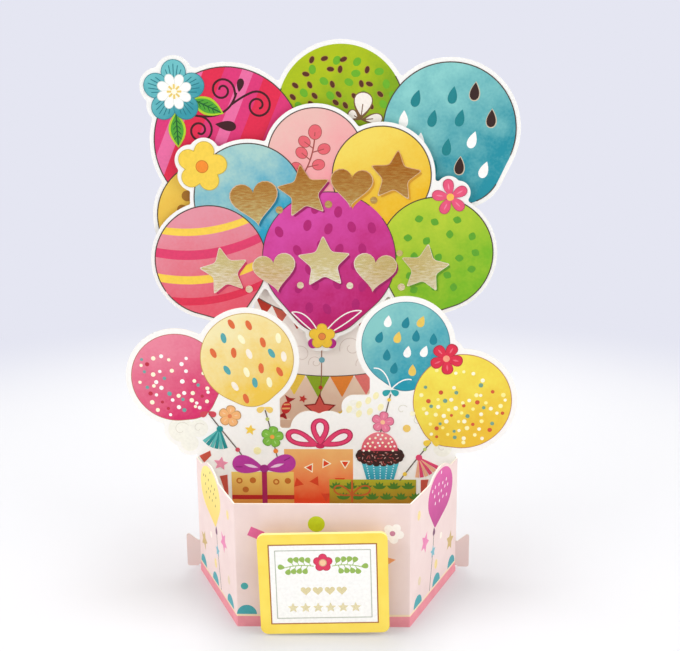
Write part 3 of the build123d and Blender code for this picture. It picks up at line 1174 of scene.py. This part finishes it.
def ribbon_loop(sheet, x, z, length, width, turn, tint):
    """A loop of ribbon: a tear of colour with a pale one inside it, both with a darker rim."""
    rim = ink(178, 38, 82)
    for start, long, wide, colour, rise in (
        (0.0, length, width, rim, 0.0), (0.5, length - 0.9, width - 0.9, tint, 0.3),
        (0.34 * length - 0.5, 0.5 * length + 0.9, 0.4 * width + 0.8, rim, 0.6),
        (0.34 * length, 0.5 * length, 0.4 * width, ink(250, 240, 240), 0.9),
    ):
        sheet.fill(drop(*out_from(x, z, start, turn), long, wide, turn, 30), colour, rise)


def tall_gift(sheet):
    """A tall box with triangles and a bow of three loops."""
    # The paper turns darker and redder towards the foot: painted shade and painted red reflection from inside
    # the tray
    paper = fade("tall_gift", (240, 180, 108), (238, 70, 24), 50, 30)
    sheet.fill(rectangle(-16.4, 22, 10.2, 51.0), paper, 0)
    for i, x, z in scatter(rectangle(-14.6, 31, 8.6, 50), 7.4, 61, 0.2):
        turn = 90 + 34 * sin(2.7 * i) if i % 3 else -90
        corners = [out_from(x, z, 2.3, turn + 120 * k) for k in range(3)]
        if z > 39:
            sheet.fill(corners, cream_ink, 1)
            corners = [(x + 0.68 * (a - x), z + 0.68 * (b - z)) for a, b in corners]
        sheet.fill(corners, ink(222, 66, 30), 2)
    knot = (-2.4, 52.2)
    for i, (turn, length, width) in enumerate(((158, 14.2, 6.4), (24, 13.6, 6.4), (90, 11.4, 7.2))):
        ribbon_loop(sheet.raised(2 + 0.1 * i), *knot, length, width, turn, ink(228, 62, 108))
    sheet.fill(oval(*knot, 3.4, 2.0), ink(198, 36, 86), 4)


def low_gift(sheet):
    """A low box with dots, crossed ribbons and a bow of two loops."""
    left, right, ribbon = -37.0, -12.8, -24.2
    knot = (ribbon, 42.8)
    # The paper darkens towards the foot: painted shade inside the tray
    paper = fade("low_gift", (240, 204, 106), (226, 150, 62), 42, 30)
    sheet.fill(rectangle(left, 22, right, 41.6), paper, 0)
    for i, x, z in scatter(rectangle(left + 1.4, 33.6, right - 1.2, 40.4), 4.7, 71, 0.16):
        if abs(x - ribbon) < 2.4:
            continue
        sheet.fill(circle(x, z, 1.25, 16), ink(196, 106, 34), 1)
        if i % 3:
            sheet.fill(circle(x, z, 0.65, 12), ink(234, 182, 90), 2)
    sheet.fill(rectangle(left, 30.2, right, 32.0), ink(188, 32, 26), 2)
    sheet.fill(rectangle(ribbon - 1.0, 22, ribbon + 1.0, 43), ink(170, 26, 84), 3)
    for i, turn in enumerate((166, 16)):
        sheet.fill(drop(*knot, 12.6, 7.4, turn, 30), ink(184, 54, 154), 4 + 0.1 * i)
        shine = lens(*out_from(*knot, 5.2, turn), 5.6, 1.2, turn)
        sheet.fill(shine, ink(240, 206, 230), 5)
        crease = turned([(8.4, 1.2), (11.0, 1.8)], *knot, turn)
        sheet.line(crease, 0.4, ink(140, 30, 116), 5)
    sheet.fill(oval(ribbon, 43.0, 3.6, 3.2), ink(160, 36, 128), 5.5)


def flat_gift(sheet):
    """A flat box with fronds and a cord tied in a bow."""
    cord = ink(198, 92, 36)
    # The paper darkens towards the foot: painted shade inside the tray
    paper = fade("flat_gift", (178, 178, 38), (174, 122, 22), 39, 29)
    sheet.fill(rectangle(1.0, 22, 34.6, 38.5), paper, 0)
    for row, z in enumerate((34.6, 30.2)):
        for k in range(6):
            x = 3.6 + 5.6 * k + 2.8 * row
            for i, turn in enumerate((28, 62, 90, 118, 152)):
                frond = lens(*out_from(x, z, 1.5, turn), 3.2, 1.1, turn)
                sheet.fill(frond, ink(74, 126, 36), 1 + 0.1 * i)
    for i, turn in enumerate((158, 22)):
        sheet.line(drop(9.8, 32.2, 7.4, 3.6, turn), 0.65, cord, 2 + 0.1 * i, closed=True)
    sheet.line([(9.8, 38.3), (9.8, 29.0)], 0.8, cord, 2.3)


def cupcake(sheet):
    """A cake in a ribbed paper case, with dark icing and a sprinkled top."""
    case = [(15.4, 38.6), (26.0, 38.6), (28.0, 46.0), (13.4, 46.0)]
    sheet.fill(case, fade("cake_case", (84, 190, 202), (42, 152, 174), 46, 39), 0)
    for i in range(5):
        top_x, low_x = 15.2 + 2.75 * i, 16.7 + 2.0 * i
        for k in range(7):
            t = (k + 0.5) / 7
            bead = circle(low_x + t * (top_x - low_x), 38.6 + 7.0 * t, 0.26, 8)
            sheet.fill(bead, ink(206, 232, 238), 1)
    for i, a in enumerate(round_angles(18)):
        lobe = circle(20.6 + 7.9 * cos(a), 48.4 + 3.0 * sin(a), 1.5, 14)
        sheet.fill(lobe, chocolate if i % 2 else ink(74, 38, 32), 2 + 0.05 * i)
    sheet.fill(oval(20.6, 48.4, 16.4, 6.4, 0, 32), chocolate, 3)
    draw = random.Random(5)
    for i, x, z in scatter(oval(20.6, 47.4, 16.6, 5.4), 1.5, 91, 0.3):
        tint = ink(178, 72, 70) if i % 3 else ink(214, 160, 150)
        shape = oval(x, z, 1.1, 0.36, draw.uniform(0, 180), 8)
        sheet.fill(shape, tint, 3.2 + 0.05 * (i % 9))
    top = dome(20.4, 50.4, 7.0, 7.6, 24)
    sheet.fill(top, fade("cake_top", (236, 132, 142), (216, 72, 92), 58, 50), 4)
    sprinkled = [(0.9 * (x - 20.4) + 20.4, 0.9 * (z - 51) + 51) for x, z in top]
    for i, x, z in scatter(sprinkled, 1.9, 95):
        sheet.fill(circle(x, z, 0.45, 10), cream_ink if i % 3 else white_ink, 5)


# Tray walls

def wall_print():
    sheet = Print("wall_print", front_face(-half_depth), "tray_card")
    half_circle(sheet, -27.4, 3.6)
    half_circle(sheet, 20.0, 3.4)
    sheet.fill(turned(rectangle(-2.6, -1.8, 2.6, 1.8), -23.4, 36.2, -24), ink(220, 98, 150), 0)
    sheet.fill(flower(Flower(24.8, 36.4, 3.9, 60), 0.4, 0, 50), ink(250, 244, 238), 0)
    sheet.fill([(21.8, 27.6), (25.8, 26.4), (21.8, 23.6)], ink(232, 154, 96), 0)
    sheet.dots([(24.6, 36.4, 1.0, ink(200, 130, 158))], 1)
    sheet.dots([(-2.1, 39.9, 3.0, ink(192, 206, 30))], 0, 28)
    sheet.dots((
        (-28.0, 15.9, 1.35, ink(70, 168, 168)), (-12.0, 24.0, 1.3, sunny), (4.0, 18.0, 1.3, rose),
        (14.0, 29.0, 1.3, teal_ink), (-18.5, 12.0, 1.3, sunny),
    ), 0, 16)
    back = half_width - front_width / 2
    sheet.face = Face((front_width / 2, -half_depth, 0), (back, half_depth, 0))
    side_figures(sheet, 1, side_wash("side_magenta", (220, 92, 164), (190, 66, 140)), white_ink)
    sheet.face = Face((-front_width / 2, -half_depth, 0), (back, -half_depth, 0))
    side_figures(sheet, -1, side_wash("side_yellow", (248, 232, 138), (244, 214, 114)), ink(150, 130, 60))
    sheet.face = Face((half_width, 0, 0), (-back, half_depth, 0))
    rear_figures(sheet, 1)
    sheet.face = Face((-front_width / 2, half_depth, 0), (-back, -half_depth, 0))
    rear_figures(sheet, -1)
    sheet.done()


def side_wash(name, light, dark):
    """A wash that runs down over a side wall's balloon."""
    middle = wall_height - side_balloon_drop
    high, low = middle + side_balloon_half_height, middle - side_balloon_half_height
    return fade(name, light, dark, high, low, 150, 5, 0.35)


def half_circle(sheet, x, radius):
    """A half disc that stands on the band along the foot."""
    sheet.fill(dome(x, line_top, radius, radius, 18), ink(70, 164, 172), 0)


def side_figures(sheet, side, colour, speck_ink):
    """A balloon on a string, stars and dots on a front side wall. Side is 1 on the right, where the
    wall runs away from the front crease, and -1 on the left, where it runs towards it."""
    middle = side * (wall_length - side_balloon_reach)
    high = wall_height - side_balloon_drop
    knot = (side * 23.4, 27.0)
    body = oval(middle, high, 2 * side_balloon_half_width, 2 * side_balloon_half_height, count=48)
    sheet.fill(hull(body + circle(side * 24.8, 29.6, 1.2)), colour, 0)
    for i, x, z in scatter(oval(middle, high + 1.0, 21, 14), 3.8, 101, 0.25):
        sheet.fill(oval(x, z, 1.4, 0.8, 60, 10), speck_ink, 1)
    sheet.fill(drop(knot[0], knot[1] + 2.0, 3.2, 2.4, -90), ink(120, 70, 100), 1)
    sheet.line([knot, (side * 22.4, 19.0), (side * 19.4, 5.0)], 0.4, string_ink, 0)
    sheet.fill(star(side * 22.6, 19.6, 2.6), ink(120, 182, 196), 1)
    sheet.fill(star(side * 14.2, 26.8, 4.2, 60), ink(232, 134, 178), 0)
    sheet.fill(star(side * 41.2, 16.0, 4.2, 75), ink(206, 178, 116), 0)
    for along, z, width, height, tint in (
        (7.9, 40.0, 3.0, 3.6, ink(242, 218, 146)), (26.0, 13.0, 3.2, 3.8, ink(242, 218, 146)),
        (9.0, 14.0, 2.8, 3.4, ink(228, 208, 174)), (31.0, 22.6, 2.2, 2.6, ink(250, 240, 226)),
    ):
        sheet.fill(oval(side * along, z, width, height), tint, 0)
    for along in (7.5, 26.5, 43.0):
        half_circle(sheet, side * along, 4.0)


def rear_figures(sheet, side):
    """Stars and dots on a rear side wall."""
    draw = random.Random(7 + side)
    tints = (sunny, ink(240, 140, 184), ink(120, 186, 200), ink(192, 206, 30), ink(214, 186, 120))
    ground = rectangle(5, 11, wall_length - 5, wall_height - 5)
    for i, x, z in scatter(ground, 11.5, 7 + side, 0.2):
        shape = star(x, z, 2.8, draw.uniform(0, 72)) if i % 2 else circle(x, z, 1.4, 16)
        sheet.fill(shape, tints[i % 5], 0)
    for x in (8.0, 24.0, 40.0):
        half_circle(sheet, x, 4.0)


# Message plate

def plate_print():
    """A white field in the plate's yellow frame, with a line, a garland and rows of foil."""
    frame_width = 3.7
    line_inset = 5.9
    right = out_from(0, 0, 1, plate_tilt)
    face = Face((plate_x, plate_y, plate_z), (right[0], 0, right[1]), (-right[1], 0, right[0]))
    sheet = Print("plate_print", face, "plate_board")
    fields = [inset(plate_width, plate_height, by) for by in (
        frame_width, frame_width + 0.45, line_inset, line_inset + 0.35,
    )]
    sheet.fill(fields[0], ink(168, 104, 52), 0)
    sheet.fill(fields[1], ink(250, 249, 245), 1)
    sheet.strip(fields[3], fields[2], ink(186, 190, 176), 2, closed=True)
    garland(sheet)
    # Paler towards the foot: painted reflection, as on the gold foil
    pale_foil_and_reflection = foil("pale_foil_and_reflection", 24, 8, (226, 212, 160), (236, 226, 186))
    for i in range(4):
        sheet.fill(heart(-6.3 + 4.2 * i, -2.4, 3.6), pale_foil_and_reflection, 2)
    for i in range(6):
        sheet.fill(star(-11.0 + 4.4 * i, -9.0, 2.0), pale_foil_and_reflection, 2)
    sheet.done()


def garland(sheet):
    """A flower with a leafy stem on each side."""
    olive = ink(150, 184, 86)
    for side in (-1, 1):
        stem = bend((3.2 * side, 6.9), (8.4 * side, 7.9), (13.2 * side, 6.5), 10)
        sheet.line(stem, 0.3, olive, 2)
        for i in range(4):
            for turn, step in ((90 - 24 * side, 1 + 2 * i), (-90 + 24 * side, 2 + 2 * i)):
                stalk = out_from(*stem[step], 1.0, turn)
                sheet.line([stem[step], stalk], 0.25, olive, 2.1)
                sheet.fill(drop(*stalk, 2.4, 2.0, turn), olive, 2.2)
        sheet.fill(drop(*stem[-1], 2.6, 2.0, 90 - side * 80), olive, 2.3)
    petal_flower(sheet.raised(3), Flower(0.0, 8.2, 3.2, 90), (222, 56, 94), (246, 200, 156), 1.1, 0.4)


# Foam pads, which take the place of the plain blocks in the solids

def foam_pads(name, node, width, height, spots, turn):
    """Foam blocks whose sides draw in between the two sheets that press them."""
    low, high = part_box(node)
    rows = 6
    draw_in = 0.25
    made = bmesh.new()
    for x, z in spots:
        loops = []
        for i in range(rows + 1):
            t = i / rows
            corners = rounded(inset(width, height, draw_in * sin(pi * t)), 0.5)
            depth = low.y + t * (high.y - low.y)
            loops.append([made.verts.new((a * mm, depth, b * mm)) for a, b in turned(corners, x, z, turn)])
        made.faces.new(loops[0])
        made.faces.new(loops[-1][::-1])
        for a, b in zip(loops, loops[1:]):
            for k in range(len(a)):
                m = (k + 1) % len(a)
                made.faces.new((a[k], b[k], b[m], a[m]))
    bmesh.ops.recalc_face_normals(made, faces=made.faces)
    mesh = bpy.data.meshes.new(name)
    made.to_mesh(mesh)
    made.free()
    mesh.materials.append(foam_material)
    piece = shown(name, mesh)
    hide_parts(node)
    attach(piece, "root")


def pads():
    size = 10.0
    limit = front_width / 2 - 2.0 - size / 2
    spots = [(max(-limit, min(limit, b.x)), b.z) for b in (blush, yellow, blue, striped, green, magenta)]
    foam_pads("balloon_foam", "balloon_pads", size, size, spots, 0)
    spread = 12.0
    spots = [out_from(plate_x, plate_z, side * spread, plate_tilt) for side in (-1, 1)]
    foam_pads("plate_foam", "plate_pads", 9.0, 22.0, spots, plate_tilt)


# Stage, light and camera

def stage_floor():
    """A white table that turns pale lilac towards the back of the room."""
    reach = floor_reach * mm
    mesh = bpy.data.meshes.new("floor")
    corners = [(x, y, 0) for x, y in rectangle(-reach, -reach, reach, reach)]
    mesh.from_pydata(corners, [], [(0, 1, 2, 3)])
    floor = shown("floor", mesh)
    shader = Shader("floor", 0.7, 0.1)
    shader.paint(rgb(224, 224, 226))
    distance = shader.node("ShaderNodeVectorMath", {0: shader.place}, operation="LENGTH")["Value"]
    start, end = floor_fade
    values = {"Value": distance, "From Min": start * mm, "From Max": end * mm, "To Min": 0.15}
    far = shader.node("ShaderNodeMapRange", values, interpolation_type="SMOOTHSTEP")["Result"]
    colour = shader.mix(far, rgb(255, 255, 255), rgb(*backdrop))
    glow = shader.node("ShaderNodeEmission", {"Color": colour})[0]
    share = shader.maths("MULTIPLY", far, shader.seen())
    shader.blend(share, shader.surface.outputs[0], glow, "Material Output")
    mesh.materials.append(shader.material)


def world_light():
    """An even pale room, which the camera and mirrors see as the photograph's lilac backdrop."""
    world = bpy.data.worlds.new("studio")
    bpy.context.scene.world = world
    world.use_nodes = True
    nodes = Nodes(world.node_tree)
    room = nodes.tree.nodes["Background"]
    room.inputs["Color"].default_value = (1.0, 0.99, 1.0, 1.0)
    room.inputs["Strength"].default_value = 0.5
    lilac = nodes.node("ShaderNodeBackground", {"Color": rgb(*backdrop)})[0]
    nodes.blend(nodes.seen(), room.outputs[0], lilac, "World Output")


def softbox(name, place, power, size):
    """A large lamp that faces the middle of the card."""
    lamp = bpy.data.lights.new(name, "AREA")
    lamp.energy = power
    lamp.size = size
    lamp_object = shown(name, lamp)
    lamp_object.location = place
    aim = Vector((0, 0, card_middle * mm)) - Vector(place)
    lamp_object.rotation_euler = aim.to_track_quat("-Z", "Y").to_euler()


def photo_camera():
    """The photograph's view."""
    camera = bpy.data.cameras.new("camera")
    camera.sensor_width = 36.0
    camera.lens = focal_pixels / image_width * camera.sensor_width
    place = Matrix.Translation(Vector(camera_place) * mm)
    turn = Matrix.Rotation(radians(camera_turn), 4, "Z")
    pitch = Matrix.Rotation(radians(90 + camera_pitch), 4, "X")
    roll = Matrix.Rotation(radians(camera_roll), 4, "Z")
    camera_object = shown("camera", camera)
    camera_object.matrix_world = place @ turn @ pitch @ roll
    bpy.context.scene.camera = camera_object


def dress(node, material):
    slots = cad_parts[node].data.materials
    slots.clear()
    slots.append(material)


dress("back_panel", sheet_card("back_card", (246, 245, 241)))
dress("balloon_panel", sheet_card("balloon_card", (246, 245, 241)))
dress("scene_panel", sheet_card("scene_card", (250, 248, 243), half_width - 0.7))
dress("message_plate", board())
dress("tray_wall", wall_card())
foam_material = foam_stuff()

rear_print()
front_print()
foil_print()
scene_print()
wall_print()
plate_print()
pads()

stage_floor()
world_light()
softbox("left_softbox", (-0.85, -0.45, 0.6), 6.6, 0.9)
softbox("right_softbox", (0.9, -0.45, 0.6), 6.6, 0.9)
softbox("top_softbox", (0.0, 0.28, 1.0), 4.2, 0.4)
softbox("rear_softbox", (0.0, 0.9, 0.45), 2.0, 0.6)
photo_camera()
bpy.context.scene.view_settings.view_transform = "Standard"
